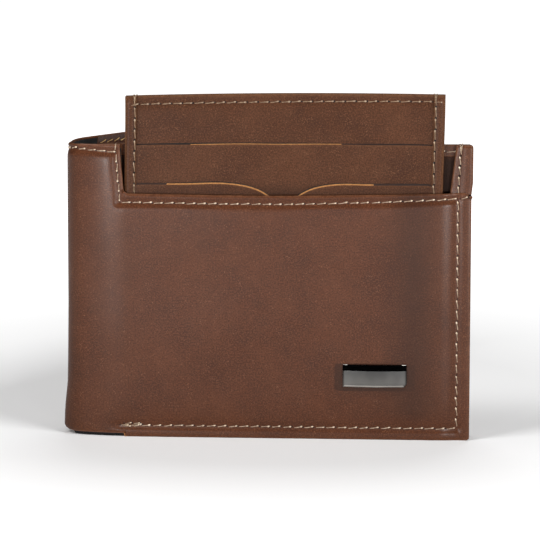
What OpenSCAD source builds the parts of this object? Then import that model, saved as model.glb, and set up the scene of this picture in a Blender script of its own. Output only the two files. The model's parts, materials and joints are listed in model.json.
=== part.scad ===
// Leather bifold wallet with a slip-out card holder, standing on its long edge and part open.
// X runs along the front half, Y points from its outer face to the rear half, and Z is up.

/* [Wallet] */
// Width, from the outer face of the spine to the free edge
wallet_w = 121.5; // [116:0.5:130]
// Height of both halves
wallet_h = 89; // [86:1:94]
// Outer thickness when closed
closed_t = 18.5; // [18:0.5:24]
// Outer radius of the leather round each corner of the spine
fold_r = 4.5; // [3.5:0.5:6]
// Angle between the two halves as stored, 0 when closed
rest_open = 57; // [0:1:90]

/* [Leather and cloth] */
// Thickness of the outer leather
leather_t = 1.2; // [1:0.1:1.4]
// Thickness of the inner leather leaves
leaf_t = 0.8; // [0.6:0.1:0.9]
// Thickness of the cloth linings
cloth_t = 0.3; // [0.2:0.1:0.4]
// Space left for folded notes behind each inner leaf
note_gap = 0.6; // [0.4:0.1:1]
// How much shorter the leather is cut at the foot of the spine, where the lining shows
relief_z = 1; // [0.5:0.1:1.5]

/* [Outside pocket] */
// Height of the pocket's mouth
mouth_z = 74.2; // [70:0.1:76]
// Width of the full-height column beside the spine
column_w = 17.3; // [15:0.1:18]
// Depth of the pocket, front to back
pocket_gap = 3.7; // [3.7:0.1:4.5]

/* [Card holder] */
// Width of the card holder
holder_w = 95; // [92:1:96]
// Height of the card holder
holder_h = 79.5; // [76:0.5:80]
// How far the holder is pulled up from its seat
holder_lift = 20; // [0:1:60]
// Height of the upper slot's mouth above the holder's foot
upper_slot_z = 64.8; // [62:0.1:66]
// Height of the lower slot's mouth above the holder's foot
lower_slot_z = 53.2; // [50:0.1:54]
// Width of the thumb notch in the lower slot's edge
notch_w = 34; // [24:1:40]
// Depth of the thumb notch
notch_depth = 4; // [3:0.1:8]

/* [Nameplate] */
// Length of the metal plate
plate_w = 18.8; // [14:0.1:22]
// Height of the metal plate
plate_h = 6.7; // [5:0.1:8]
// Height of the plate's middle above its ends
plate_arch = 0.8; // [0.5:0.1:1.2]

/* [Stitching] */
// Distance from one stitch to the next
stitch_pitch = 3.25; // [2.5:0.05:4]
// Width of the thread
thread_w = 0.5; // [0.4:0.05:0.6]

/* [Inside] */
// Height of the inner leaves
wing_h = 84; // [80:1:86]
// Step from one card slot's mouth to the next
slot_step = 12; // [10:1:14]
// Height of the highest card slot's mouth
top_slot_z = 72; // [68:1:76]

/* [Hidden] */
$fn = 96;

leather = [0.43, 0.28, 0.22];
leaf = [0.40, 0.26, 0.19];
cloth = [0.12, 0.12, 0.12];
thread = [0.78, 0.70, 0.62];
gunmetal = [0.30, 0.29, 0.28];

// Plan of the spine and its two folds
spine_x = -wallet_w / 2;
free_x = wallet_w / 2;
fold_x = spine_x + fold_r;
column_x = spine_x + column_w;
front_centre = [fold_x, fold_r];
rear_centre = [fold_x, closed_t - fold_r];
diagonal = fold_r * sqrt(0.5);
front_pivot = front_centre + [-diagonal, -diagonal];
rear_pivot = rear_centre + [-diagonal, diagonal];
// Each fold's arc is shared by two bodies, which stop this far short of its middle
fold_clearance = 0.5;
arc_share = 45 - fold_clearance;

// Layers of the front half, from its outer face inwards
hem_t = 0.4;
hem_h = 3.6;
top_hem_h = 5;
edge_w = 5;
pocket_y = leather_t;
back_y = pocket_y + pocket_gap;
back_t = 1;
lining_y = back_y + back_t;
wing_y = lining_y + cloth_t + note_gap;
wing_x = spine_x + 11;
corner_r = 2;
slots = 3;
slots_y = wing_y + (slots + 1) * leaf_t;

// The rear half uses the same layers, counted from its own outer face
rear_wing_y = closed_t - leather_t - cloth_t - note_gap - leaf_t;

// Card holder
holder_x = column_x + 1.3;
holder_t = 2.8;
holder_y = pocket_y + 0.25;
holder_layer_t = 0.6;
holder_cloth_t = 0.2;
holder_seat_z = hem_h + 0.4;
holder_z = holder_seat_z + holder_lift;
binding_w = 3.4;
slot_half_w = holder_w / 2 - binding_w;
notch_steps = 12;
top_panel_y = holder_y + 2 * holder_layer_t;
holder_lining_y = top_panel_y + holder_layer_t;
holder_back_y = holder_lining_y + holder_cloth_t;

// Pocket walls beside the holder
welt_x1 = column_x + 0.4;
facing_low_x = holder_x + holder_w + 1.5;
facing_high_x = facing_low_x + 1.9;

// Nameplate
plate_t = 0.9;
plate_x = free_x - 28.4;
plate_z = 19.8;
plate_radius = plate_w * plate_w / (8 * plate_arch) + plate_arch / 2;
plate_half_angle = asin(plate_w / 2 / plate_radius);
plate_face_y = -plate_arch - plate_t;
prong_w = 1.2;
prong_t = 0.6;
prong_reach = plate_w / 2 - 2.5;

// Stitching
stitch_len = 2.4;
stitch_rise = 0.2;
seam_inset = 3.4;
holder_seam_inset = 2.9;
side_seam_x = free_x - 3.9;

// The origin is under the middle of the whole wallet as stored
far_y = rear_pivot[1] + (free_x - rear_pivot[0]) * sin(rest_open)
    + (closed_t - rear_pivot[1]) * cos(rest_open);
shift_y = -(plate_face_y + far_y) / 2;

module in_front_half() {
    translate([0, shift_y, 0]) children();
}

module in_rear_half() {
    translate([rear_pivot[0], rear_pivot[1] + shift_y, 0])
        rotate(rest_open)
            translate([-rear_pivot[0], -rear_pivot[1], 0]) children();
}

// An upright sheet: its outline is drawn in X and Z, and it reaches from y to y + t
module upright(y, t) {
    translate([0, y + t, 0]) rotate([90, 0, 0]) linear_extrude(t) children();
}

module sheet(x0, x1, z0, z1, y, t) {
    translate([x0, y, z0]) cube([x1 - x0, t, z1 - z0]);
}

// What a rounded corner takes away from, or leaves in, a square corner at the origin
module corner_scrap(r) {
    difference() {
        square(r);
        translate([r, r]) circle(r);
    }
}

// An upright leaf with rounded top corners
module leaf_outline(x0, x1, z0, z1) {
    difference() {
        translate([x0, z0]) square([x1 - x0, z1 - z0]);
        translate([x0, z1]) mirror([0, 1]) corner_scrap(corner_r);
        translate([x1, z1]) rotate(180) corner_scrap(corner_r);
    }
}

// Leather or cloth round one body's share of a fold. It starts where the flat leather ends,
// and turn is 1 anticlockwise from there and -1 clockwise.
module fold_arc(centre, start, turn, inset, t, z0, z1) {
    translate([centre[0], centre[1], 0])
        rotate(start)
            mirror([0, turn < 0 ? 1 : 0, 0])
                rotate_extrude(angle = arc_share)
                    translate([fold_r - inset - t, z0]) square([t, z1 - z0]);
}

// Stitches along X, on a face whose outside is towards -Y
module stitches_along_x(x0, x1, z, y) {
    for (x = [x0 : stitch_pitch : x1 - stitch_len])
        translate([x, y - stitch_rise, z - thread_w / 2]) cube([stitch_len, stitch_rise, thread_w]);
}

module stitches_along_z(x, z0, z1, y) {
    for (z = [z0 : stitch_pitch : z1 - stitch_len])
        translate([x - thread_w / 2, y - stitch_rise, z]) cube([thread_w, stitch_rise, stitch_len]);
}

// ---- Front half ----

module prong_slots(grow) {
    for (side = [-1, 1])
        translate([plate_x + side * prong_reach - prong_t / 2 - grow, plate_z - prong_w / 2 - grow])
            square([prong_t + 2 * grow, prong_w + 2 * grow]);
}

module front_outline() {
    difference() {
        translate([fold_x, 0]) square([free_x - fold_x, wallet_h]);
        difference() {
            translate([column_x, mouth_z]) square([wallet_w, wallet_h]);
            translate([column_x, mouth_z]) corner_scrap(corner_r);
        }
        translate([fold_x - 1, -1]) square([column_x - fold_x + 1, relief_z + 1]);
        translate([free_x, 0]) mirror([1, 0]) corner_scrap(corner_r / 2);
        prong_slots(0);
    }
}

module front_pocket_panel() {
    color(leather) in_front_half() {
        upright(0, leather_t) front_outline();
        fold_arc(front_centre, 270, -1, 0, leather_t, relief_z, wallet_h);
    }
}

module column_top_hem() {
    color(leather) in_front_half()
        sheet(fold_x, column_x, wallet_h - top_hem_h, wallet_h, leather_t, hem_t);
}

module front_fold_lining() {
    color(cloth) in_front_half() {
        sheet(fold_x, column_x, 0, wallet_h - top_hem_h, leather_t, cloth_t);
        fold_arc(front_centre, 270, -1, leather_t, cloth_t, 0, wallet_h - top_hem_h);
    }
}

module front_bottom_hem() {
    color(leather) in_front_half()
        sheet(column_x, free_x - corner_r / 2, 0, hem_h, leather_t, 1);
}

module pocket_left_welt() {
    color(leaf) in_front_half()
        sheet(wing_x, welt_x1, hem_h, wallet_h - 1, leather_t + hem_t, pocket_gap - hem_t);
}

module pocket_bottom_welt() {
    color(leaf) in_front_half()
        sheet(column_x, free_x - corner_r / 2, 0.4, hem_h, leather_t + 1, pocket_gap - 1);
}

// The strip at the free edge, which widens towards the pocket's mouth
module pocket_side_facing() {
    color(leather) in_front_half()
        upright(pocket_y, pocket_gap)
            difference() {
                polygon([
                    [facing_low_x, hem_h], [free_x, hem_h], [free_x, wallet_h],
                    [facing_high_x, wallet_h], [facing_high_x, wallet_h - hem_h], [facing_low_x, mouth_z]
                ]);
                translate([free_x, wallet_h]) rotate(180) corner_scrap(corner_r);
            }
}

module pocket_lining() {
    color(cloth) in_front_half()
        sheet(welt_x1, facing_low_x, hem_h, wallet_h - hem_h, back_y - cloth_t, cloth_t);
}

module pocket_back_panel() {
    color(leather) in_front_half() upright(back_y, back_t) leaf_outline(wing_x, free_x, 0.4, wallet_h);
}

module pocket_back_hem() {
    color(leather) in_front_half()
        sheet(welt_x1, facing_high_x, wallet_h - hem_h, wallet_h, back_y - hem_t, hem_t);
}

module front_note_lining() {
    color(cloth) in_front_half()
        upright(lining_y, cloth_t) leaf_outline(wing_x, free_x, 0.4, wallet_h - 1);
}

// An inner leaf with turned edges along its foot and its free end, which leave room for notes
module wing(y, edge_y) {
    upright(y, leaf_t) leaf_outline(wing_x, free_x, 0.4, wing_h);
    sheet(wing_x, free_x, 0.4, edge_w, edge_y, note_gap);
    sheet(free_x - edge_w, free_x, edge_w, wing_h - edge_w, edge_y, note_gap);
}

module front_wing() {
    color(leaf) in_front_half() wing(wing_y, wing_y - note_gap);
}

// Card slot n is a leaf that covers the foot of the one before it
module card_slot(n, y) {
    upright(y, leaf_t) leaf_outline(wing_x + 2, free_x, 0.4, top_slot_z - n * slot_step);
}

module front_card_slot(n) {
    color(leaf) in_front_half() card_slot(n, wing_y + (n + 1) * leaf_t);
}

module front_card_slot_1() {
    front_card_slot(0);
}

module front_card_slot_2() {
    front_card_slot(1);
}

module front_card_slot_3() {
    front_card_slot(2);
}

// Bowed along its length, so that only its ends meet the leather
module nameplate() {
    color(gunmetal) in_front_half()
        translate([plate_x, plate_radius - plate_arch, plate_z - plate_h / 2])
            rotate(270 - plate_half_angle)
                rotate_extrude(angle = 2 * plate_half_angle, $fn = 360)
                    translate([plate_radius, 0]) square([plate_t, plate_h]);
}

module nameplate_prongs() {
    prong_y = plate_arch * (1 - pow(2 * prong_reach / plate_w, 2));
    color(gunmetal) in_front_half()
        intersection() {
            upright(-prong_y - plate_t, leather_t + prong_y + plate_t) prong_slots(0);
            translate([plate_x, plate_radius - plate_arch, 0]) cylinder(r = plate_radius, h = wallet_h, $fn = 360);
        }
}

module mouth_stitching() {
    color(thread) in_front_half() {
        stitches_along_x(fold_x + 0.5, column_x - 1, wallet_h - 2, 0);
        stitches_along_z(column_x - 1.2, mouth_z - 2, wallet_h - 2.5, 0);
        stitches_along_x(column_x - 0.8, free_x - 1, mouth_z - 2.7, 0);
    }
}

module front_side_stitching() {
    color(thread) in_front_half() {
        stitches_along_z(side_seam_x, seam_inset + 1.5, mouth_z - 3.2, 0);
        stitches_along_z(side_seam_x, mouth_z + 0.2, wallet_h - 1, pocket_y);
    }
}

module front_bottom_stitching() {
    color(thread) in_front_half()
        stitches_along_x(column_x - 1.5, side_seam_x + 1, seam_inset, 0);
}

// Seams round the foot and the free end of an inner leaf
module wing_seams() {
    stitches_along_x(wing_x + 3, free_x - seam_inset, seam_inset, 0);
    stitches_along_z(free_x - seam_inset, seam_inset + 2, top_slot_z - 2 * slot_step - 1, 0);
}

module front_wing_stitching() {
    color(thread) in_front_half()
        translate([0, slots_y, 0]) mirror([0, 1, 0]) wing_seams();
}

// ---- Spine ----

module spine_leather() {
    color(leather) in_front_half() {
        translate([spine_x, fold_r, relief_z]) cube([leather_t, closed_t - 2 * fold_r, wallet_h - relief_z]);
        fold_arc(front_centre, 180, 1, 0, leather_t, relief_z, wallet_h);
        fold_arc(rear_centre, 180, -1, 0, leather_t, relief_z, wallet_h);
    }
}

module spine_lining() {
    color(cloth) in_front_half() {
        translate([spine_x + leather_t, fold_r, 0])
            cube([cloth_t, closed_t - 2 * fold_r, wallet_h - 0.5]);
        fold_arc(front_centre, 180, 1, leather_t, cloth_t, 0, wallet_h - 0.5);
        fold_arc(rear_centre, 180, -1, leather_t, cloth_t, 0, wallet_h - 0.5);
    }
}

module spine_stitching() {
    color(thread) in_front_half()
        translate([spine_x, closed_t, 0]) rotate(-90)
            stitches_along_x(fold_r + 0.5, closed_t - fold_r, wallet_h - 2, 0);
}

// ---- Rear half, drawn as it lies when closed ----

module rear_outline() {
    difference() {
        translate([fold_x, 0]) square([free_x - fold_x, wallet_h]);
        translate([fold_x - 1, -1]) square([column_x - fold_x + 1, relief_z + 1]);
        translate([free_x, 0]) mirror([1, 0]) corner_scrap(corner_r / 2);
        translate([free_x, wallet_h]) rotate(180) corner_scrap(corner_r);
    }
}

module rear_outer_panel() {
    color(leather) in_rear_half() {
        upright(closed_t - leather_t, leather_t) rear_outline();
        fold_arc(rear_centre, 90, 1, 0, leather_t, relief_z, wallet_h);
    }
}

module rear_top_hem() {
    color(leather) in_rear_half()
        sheet(wing_x, free_x - corner_r, wallet_h - top_hem_h, wallet_h, closed_t - leather_t - hem_t, hem_t);
}

module rear_bottom_hem() {
    color(leather) in_rear_half()
        sheet(column_x, free_x - corner_r / 2, 0, hem_h, closed_t - leather_t - hem_t, hem_t);
}

module rear_note_lining() {
    color(cloth) in_rear_half() {
        sheet(fold_x, wing_x, 0, wallet_h - 0.5, closed_t - leather_t - cloth_t, cloth_t);
        sheet(wing_x, free_x, hem_h, wallet_h - top_hem_h, closed_t - leather_t - cloth_t, cloth_t);
        fold_arc(rear_centre, 90, 1, leather_t, cloth_t, 0, wallet_h - 0.5);
    }
}

module rear_wing() {
    color(leaf) in_rear_half()
        difference() {
            wing(rear_wing_y, rear_wing_y + leaf_t);
            // the turned foot steps back over the hem
            sheet(spine_x, free_x + 1, 0, hem_h, closed_t - leather_t - hem_t, hem_t);
        }
}

module rear_card_slot(n) {
    color(leaf) in_rear_half() card_slot(n, rear_wing_y - (n + 1) * leaf_t);
}

module rear_card_slot_1() {
    rear_card_slot(0);
}

module rear_card_slot_2() {
    rear_card_slot(1);
}

module rear_card_slot_3() {
    rear_card_slot(2);
}

module rear_hem_stitching() {
    color(thread) in_rear_half()
        stitches_along_x(wing_x + 1, free_x - corner_r - 1, wallet_h - 2, closed_t - leather_t - hem_t);
}

// Seams on the outer face, along the top, the free end and the foot
module rear_edge_stitching() {
    color(thread) in_rear_half()
        translate([0, closed_t, 0]) mirror([0, 1, 0]) {
            stitches_along_x(fold_x + 0.5, free_x - seam_inset, wallet_h - 2, 0);
            stitches_along_z(side_seam_x, seam_inset + 1, wallet_h - 4, 0);
            stitches_along_x(column_x - 1.5, side_seam_x + 1, seam_inset, 0);
        }
}

module rear_wing_stitching() {
    color(thread) in_rear_half()
        translate([0, rear_wing_y - slots * leaf_t, 0]) wing_seams();
}

// ---- Card holder ----

module holder_sheet(inset, z0, z1, y, t) {
    in_front_half()
        sheet(holder_x + inset, holder_x + holder_w - inset, holder_z + z0, holder_z + z1, y, t);
}

module holder_back_panel() {
    color(leather) holder_sheet(0, 0, holder_h, holder_back_y, leaf_t);
}

module holder_lining() {
    color(cloth) holder_sheet(0.6, 0.6, holder_h - 0.6, holder_lining_y, holder_cloth_t);
}

module holder_top_panel() {
    color(leather) holder_sheet(0, 0, holder_h - 0.4, top_panel_y, holder_layer_t);
}

module holder_upper_slot() {
    color(leather) holder_sheet(binding_w, 0, upper_slot_z, holder_y + holder_layer_t, holder_layer_t);
}

// Half of the notch's width runs on each side of 0, and its foot and shoulders are one cosine wave
function notch_z(x) = -notch_depth * (1 + cos(360 * x / notch_w)) / 2;

module holder_lower_slot() {
    notch = [for (n = [-notch_steps : notch_steps]) n / notch_steps * notch_w / 2];
    color(leather) in_front_half()
        translate([holder_x + holder_w / 2, 0, holder_z])
            upright(holder_y, holder_layer_t)
                polygon(concat(
                    [[-slot_half_w, 0], [-slot_half_w, lower_slot_z]],
                    [for (x = notch) [x, lower_slot_z + notch_z(x)]],
                    [[slot_half_w, lower_slot_z], [slot_half_w, 0]]
                ));
}

module binding(x) {
    color(leather) in_front_half()
        sheet(x, x + binding_w, holder_z, holder_z + holder_h, holder_y, 2 * holder_layer_t);
}

module holder_left_binding() {
    binding(holder_x);
}

module holder_right_binding() {
    binding(holder_x + holder_w - binding_w);
}

module holder_stitching() {
    color(thread) in_front_half()
        translate([holder_x, 0, holder_z]) {
            stitches_along_z(holder_seam_inset, 1, holder_h - 3, holder_y);
            stitches_along_z(holder_w - holder_seam_inset, 1, holder_h - 3, holder_y);
            stitches_along_x(binding_w + 1, holder_w - binding_w, holder_h - 2.7, top_panel_y);
        }
}

front_pocket_panel();
column_top_hem();
front_fold_lining();
front_bottom_hem();
pocket_left_welt();
pocket_bottom_welt();
pocket_side_facing();
pocket_lining();
pocket_back_panel();
pocket_back_hem();
front_note_lining();
front_wing();
front_card_slot_1();
front_card_slot_2();
front_card_slot_3();
nameplate();
nameplate_prongs();
mouth_stitching();
front_side_stitching();
front_bottom_stitching();
front_wing_stitching();
spine_leather();
spine_lining();
spine_stitching();
rear_outer_panel();
rear_top_hem();
rear_bottom_hem();
rear_note_lining();
rear_wing();
rear_card_slot_1();
rear_card_slot_2();
rear_card_slot_3();
rear_hem_stitching();
rear_edge_stitching();
rear_wing_stitching();
holder_back_panel();
holder_lining();
holder_top_panel();
holder_upper_slot();
holder_lower_slot();
holder_left_binding();
holder_right_binding();
holder_stitching();
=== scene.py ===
"""Looks for a leather bifold wallet with a slip-out card holder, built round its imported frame.

Until a mesh is made, lengths are in millimetres: x along the front half, y from its outer
face towards the rear half, and z up. The rear half is drawn as it lies when closed, and is
then turned to where it stands at rest. A sheet of leather or cloth is drawn flat, in s along
it and z up, with w its depth behind the face that shows.
"""
import json
import math

import bmesh
import bpy
import numpy as np
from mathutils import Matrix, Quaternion, Vector


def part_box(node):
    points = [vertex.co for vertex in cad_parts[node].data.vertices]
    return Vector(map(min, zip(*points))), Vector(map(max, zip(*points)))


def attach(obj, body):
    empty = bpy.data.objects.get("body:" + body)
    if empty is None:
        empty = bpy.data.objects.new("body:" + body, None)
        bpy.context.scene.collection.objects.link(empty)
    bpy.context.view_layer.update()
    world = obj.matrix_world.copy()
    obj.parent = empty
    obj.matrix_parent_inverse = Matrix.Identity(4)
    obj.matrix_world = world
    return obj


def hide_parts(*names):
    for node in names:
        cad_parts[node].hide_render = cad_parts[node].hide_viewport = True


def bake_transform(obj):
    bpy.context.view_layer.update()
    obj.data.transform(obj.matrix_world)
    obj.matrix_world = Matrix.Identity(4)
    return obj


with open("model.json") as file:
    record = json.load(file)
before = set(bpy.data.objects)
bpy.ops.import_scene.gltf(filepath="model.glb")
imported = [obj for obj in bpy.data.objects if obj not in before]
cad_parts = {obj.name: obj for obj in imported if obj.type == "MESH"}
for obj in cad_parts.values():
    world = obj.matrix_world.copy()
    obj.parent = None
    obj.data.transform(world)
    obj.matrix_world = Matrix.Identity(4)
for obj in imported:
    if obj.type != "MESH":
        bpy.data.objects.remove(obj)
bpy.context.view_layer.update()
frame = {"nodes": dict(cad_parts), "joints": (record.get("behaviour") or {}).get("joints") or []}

MM = 0.001

# ---- Sizes, from the frame ----


def span(node):
    """A node's lowest and highest corners, in millimetres."""
    low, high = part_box(node)
    return low / MM, high / MM


PANEL_LOW, PANEL_HIGH = span("front_pocket_panel")
FRONT_Y, FREE_X, HEIGHT = PANEL_LOW.y, PANEL_HIGH.x, PANEL_HIGH.z
SPINE_X, _, RELIEF_Z = span("spine_leather")[0]
COLUMN_X = span("column_top_hem")[1].x
WING_X = span("pocket_left_welt")[0].x
WING_TOP = span("front_wing")[1].z
WING_Y = span("front_card_slot_1")[0].y - FRONT_Y
SLOT_TOPS = [span(f"front_card_slot_{n}")[1].z for n in (1, 2, 3)]
BACK_Y = span("pocket_back_panel")[0].y - FRONT_Y
HOLDER_LOW, HOLDER_HIGH = span("holder_back_panel")
PLATE_LOW, PLATE_HIGH = span("nameplate")

hinges = {j["name"]: j for j in frame["joints"]}
FRONT_PIVOT, REAR_PIVOT = (
    (hinges[name]["pos_m"][0] / MM, hinges[name]["pos_m"][1] / MM - FRONT_Y)
    for name in ("front_fold", "rear_fold")
)
CLOSED_T = FRONT_PIVOT[1] + REAR_PIVOT[1]
REST_OPEN = -math.radians(hinges["rear_fold"]["range_deg"][0])
FOLD_R = FRONT_PIVOT[1] / (1 - math.sqrt(0.5))
FOLD_X = SPINE_X + FOLD_R
ARC = FOLD_R * math.pi / 2

# Thicknesses, and the room behind an inner leaf for notes
LEATHER = 1.2
LEAF = 0.8
CLOTH = 0.3
HEM = 0.4
NOTE_GAP = 0.6
# The mouth's height, a turned foot and top, and the foot of the lining at a fold and of a leaf
MOUTH_Z = 74.2
FOOT_HEM = 3.6
TOP_HEM = 5
LINING_Z = 1.6
LEAF_Z = 0.4
# The side seams run this far in from the free edge
SIDE_X = FREE_X - 3.9

# ---- Where a flat point lies in space ----


def smooth(x):
    x = np.clip(x, 0, 1)
    return x * x * (3 - 2 * x)


def turn_rear(x, y):
    """A point of the closed rear half, where it is at rest."""
    c, s = math.cos(REST_OPEN), math.sin(REST_OPEN)
    dx, dy = x - REAR_PIVOT[0], y - REAR_PIVOT[1]
    return REAR_PIVOT[0] + c * dx - s * dy, REAR_PIVOT[1] + s * dx + c * dy


FLARE_Z = [0, 1.0, 1.7, 2.6, 7, 11, 16, 26, 41, 70, 89]
FLARE = [1.0, 0.85, 1.4, 1.85, 1.65, 1.26, 0.66, 0.35, 0, -0.25, -0.5]
# The flare starts this far before each fold
FRONT_FLARE, REAR_FLARE = 5, 6


def foot_flare(z):
    """How far the spine spreads at its foot and draws in at its top."""
    return np.interp(z, FLARE_Z, FLARE)


def stack(x, y, z):
    """Points, from y behind the front half's outer face."""
    return np.stack([x, y + FRONT_Y, z], 1)


SPINE_HALF = 3.8
SEAM_S = FOLD_X - ARC - SPINE_HALF
# The leather rolls towards the spine from ROLL_S up to the fold, and stops ROLL_END past it
ROLL_S = -42.0
ROLL_BEND = 0.0084
ROLL_END = 3


def round_front(s, z, w):
    """The front half's leather, from its free edge, round the fold, to the middle of the spine."""
    turn = np.clip((FOLD_X - s) / FOLD_R, 0, math.pi / 2)
    rest = np.clip(FOLD_X - ARC - s, 0, None)
    nx, ny = -np.sin(turn), -np.cos(turn)
    x = np.where(s >= FOLD_X, s, FOLD_X + FOLD_R * nx)
    y = np.where(s >= FOLD_X, 0, FOLD_R + FOLD_R * ny + rest)
    flare = foot_flare(z) * smooth((FOLD_X + FRONT_FLARE - s) / (FRONT_FLARE + ARC))
    before = np.clip(ROLL_S - s, 0, ROLL_S - FOLD_X)
    after = np.clip(FOLD_X - s, 0, ROLL_END)
    slope = 2 * ROLL_BEND * (ROLL_S - FOLD_X)
    roll = ROLL_BEND * before ** 2 + slope * (after - after ** 2 / (2 * ROLL_END))
    roll = roll * (1 - smooth((FOLD_X - ARC / 2 - s) / (ARC / 2 + SPINE_HALF)))
    return stack(x - nx * w - flare, y - ny * w + roll, z)


# The rear bend: its angle, the length of its tangents and its radius. u is s of the rear half
BEND = math.pi / 2 - REST_OPEN
TANGENT = 5.5
BEND_R = TANGENT / math.tan(BEND / 2)
edge_x, edge_y = turn_rear(0.0, CLOSED_T)
CORNER_U = (SPINE_X - edge_x) / math.cos(REST_OPEN)
CORNER_Y = edge_y + CORNER_U * math.sin(REST_OPEN)
BEND_U = CORNER_U + TANGENT
REAR_SEAM_U = BEND_U - BEND_R * BEND - (CORNER_Y - TANGENT - FOLD_R - SPINE_HALF)


def round_rear(s, z, w):
    """The rear leather, from the middle of the spine, round the bend, to the free edge."""
    turn = np.clip((BEND_U - s) / BEND_R, 0, BEND)
    rest = np.clip(BEND_U - BEND_R * BEND - s, 0, None)
    nx, ny = -np.sin(REST_OPEN + turn), np.cos(REST_OPEN + turn)
    fx, fy = turn_rear(np.maximum(s, BEND_U), CLOSED_T)
    bx, by = -math.sin(REST_OPEN), math.cos(REST_OPEN)
    x = fx + BEND_R * (nx - bx)
    y = fy + BEND_R * (ny - by) - rest
    flare = foot_flare(z) * smooth((BEND_U + REAR_FLARE - s) / (REAR_FLARE + BEND_R * BEND))
    return stack(x - nx * w - flare, y - ny * w, z)


def front_layer(y, inward=1):
    """Sheets of the front half. With inward -1, the face that shows looks towards the rear half."""
    return lambda s, z, w: stack(s, y + inward * w, z)


def rear_layer(y, inward=-1):
    """Sheets of the rear half. With inward 1, the face that shows looks towards the front half."""
    return lambda s, z, w: stack(*turn_rear(s, y + inward * w), z)


# ---- Relief of the leather ----


def near_line(s, z, line, depth, width):
    """A groove pressed along a seam."""
    pressed = np.zeros_like(s)
    for (s0, z0), (s1, z1) in zip(line, line[1:]):
        ds, dz = s1 - s0, z1 - z0
        t = np.clip(((s - s0) * ds + (z - z0) * dz) / (ds * ds + dz * dz), 0, 1)
        away = np.hypot(s - s0 - t * ds, z - z0 - t * dz)
        pressed = np.maximum(pressed, depth * np.exp(-((away / width) ** 2)))
    return pressed


def groove(line, depth, width):
    """The relief of a single groove."""
    return lambda s, z: near_line(s, z, line, depth, width)


def ripple(seed, size, longest, shortest, waves=7):
    """Gentle unevenness made of a few long waves in seeded directions."""
    rng = np.random.RandomState(seed)
    angle = rng.uniform(0, math.pi, waves)
    pitch = rng.uniform(shortest, longest, waves)
    phase = rng.uniform(0, 2 * math.pi, waves)

    def depth(s, z):
        total = np.zeros_like(s)
        for a, p, f in zip(angle, pitch, phase):
            total += np.sin((s * math.cos(a) + z * math.sin(a)) * 2 * math.pi / p + f)
        return size * (total / waves + 0.5)

    return depth


# ---- Outlines and edges ----


CORNER_STEPS = 6


def outline(*corners):
    """A closed outline, anticlockwise, from (s, z) or (s, z, corner radius)."""
    made, n = [], len(corners)
    for i, corner in enumerate(corners):
        p = Vector(corner[:2])
        radius = corner[2] if len(corner) > 2 else 0
        if not radius:
            made.append(p)
            continue
        a = (Vector(corners[i - 1][:2]) - p).normalized()
        b = (Vector(corners[(i + 1) % n][:2]) - p).normalized()
        half = a.angle(b) / 2
        centre = p + (a + b).normalized() * radius / math.sin(half)
        first = p + a * radius / math.tan(half) - centre
        last = p + b * radius / math.tan(half) - centre
        sweep = first.angle_signed(last)
        for k in range(CORNER_STEPS + 1):
            t = -sweep * k / CORNER_STEPS
            made.append(centre + Vector((
                first.x * math.cos(t) - first.y * math.sin(t),
                first.x * math.sin(t) + first.y * math.cos(t),
            )))
    return made


def block(s0, s1, z0, z1, low=0, high=0):
    """A rectangle, with the radii of its lower and upper corners."""
    return outline((s0, z0, low), (s1, z0, low), (s1, z1, high), (s0, z1, high))


# A sharp corner's mitre is cut short, and a point this near to s = seam lies on it
MITRE_LIMIT = 0.35
ON_SEAM = 1e-3


def grown(loop, distance, seam):
    """The loop moved outwards, mitred at its corners. A point on s = seam stays on it."""
    made, n = [], len(loop)
    for i, p in enumerate(loop):
        a, b = p - loop[i - 1], loop[(i + 1) % n] - p
        na = Vector((a.y, -a.x)).normalized()
        nb = Vector((b.y, -b.x)).normalized()
        move = (na + nb) * (distance / max(MITRE_LIMIT, 1 + na.dot(nb)))
        if seam is not None and abs(p.x - seam) < ON_SEAM:
            move.x = 0
        made.append(p + move)
    return made


# An edge is rows of (distance in from the outline, depth, 1 where the cut leather shows).


def turned(t, reach=0.9, roll=0.05):
    """A rounded, turned edge, from the face that shows to the one behind."""
    r = t / 2
    rows = [(reach, 0, 0), ((reach + r) / 2, roll * 0.3, 0)]
    for degrees in (0, 30, 55, 75, 90, 105, 125, 150, 180):
        a = math.radians(degrees)
        extra = roll * max(0, math.cos(a))
        rows.append((r * (1 - math.sin(a)), r * (1 - math.cos(a)) + extra, 0))
    return rows + [(reach, t, 0)]


def cut(t, reach=0.6, bevel=0.1):
    """A plain cut edge."""
    b = min(bevel, t / 3)
    return [
        (reach, 0, 0), (b, 0, 0), (0.3 * b, 0.3 * b, 1), (0, b, 1),
        (0, t - b, 1), (0.3 * b, t - 0.3 * b, 1), (b, t, 1), (reach, t, 0),
    ]


def squared(t, reach=0.8):
    """The edge of a thick stack: a flat side between two small rounds."""
    rounds = [(reach, 0), (0.6, 0.02), (0.25, 0.12), (0.07, 0.32), (0, 0.65)]
    return [(e, w, 0) for e, w in rounds] + [(e, t - w, 0) for e, w in reversed(rounds)]


def lip(t, chamfer, reach=0.9):
    """A slot's skived edge, whose cut shows from the front."""
    return [
        (reach, 0, 0), (chamfer + 0.12, 0, 0), (chamfer, 0.03, 0), (0.08, 0.72 * t, 1),
        (0, 0.85 * t, 1), (0.02, 0.97 * t, 1), (0.1, t, 0), (reach, t, 0),
    ]


# ---- Meshes ----


def doubled_area(loop):
    """Twice a loop's area, positive when the loop is anticlockwise."""
    return sum(a.x * b.y - b.x * a.y for a, b in zip(loop, loop[1:] + loop[:1]))


def linked(name, data):
    """An object in the scene."""
    made = bpy.data.objects.new(name, data)
    bpy.context.scene.collection.objects.link(made)
    return made


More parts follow.
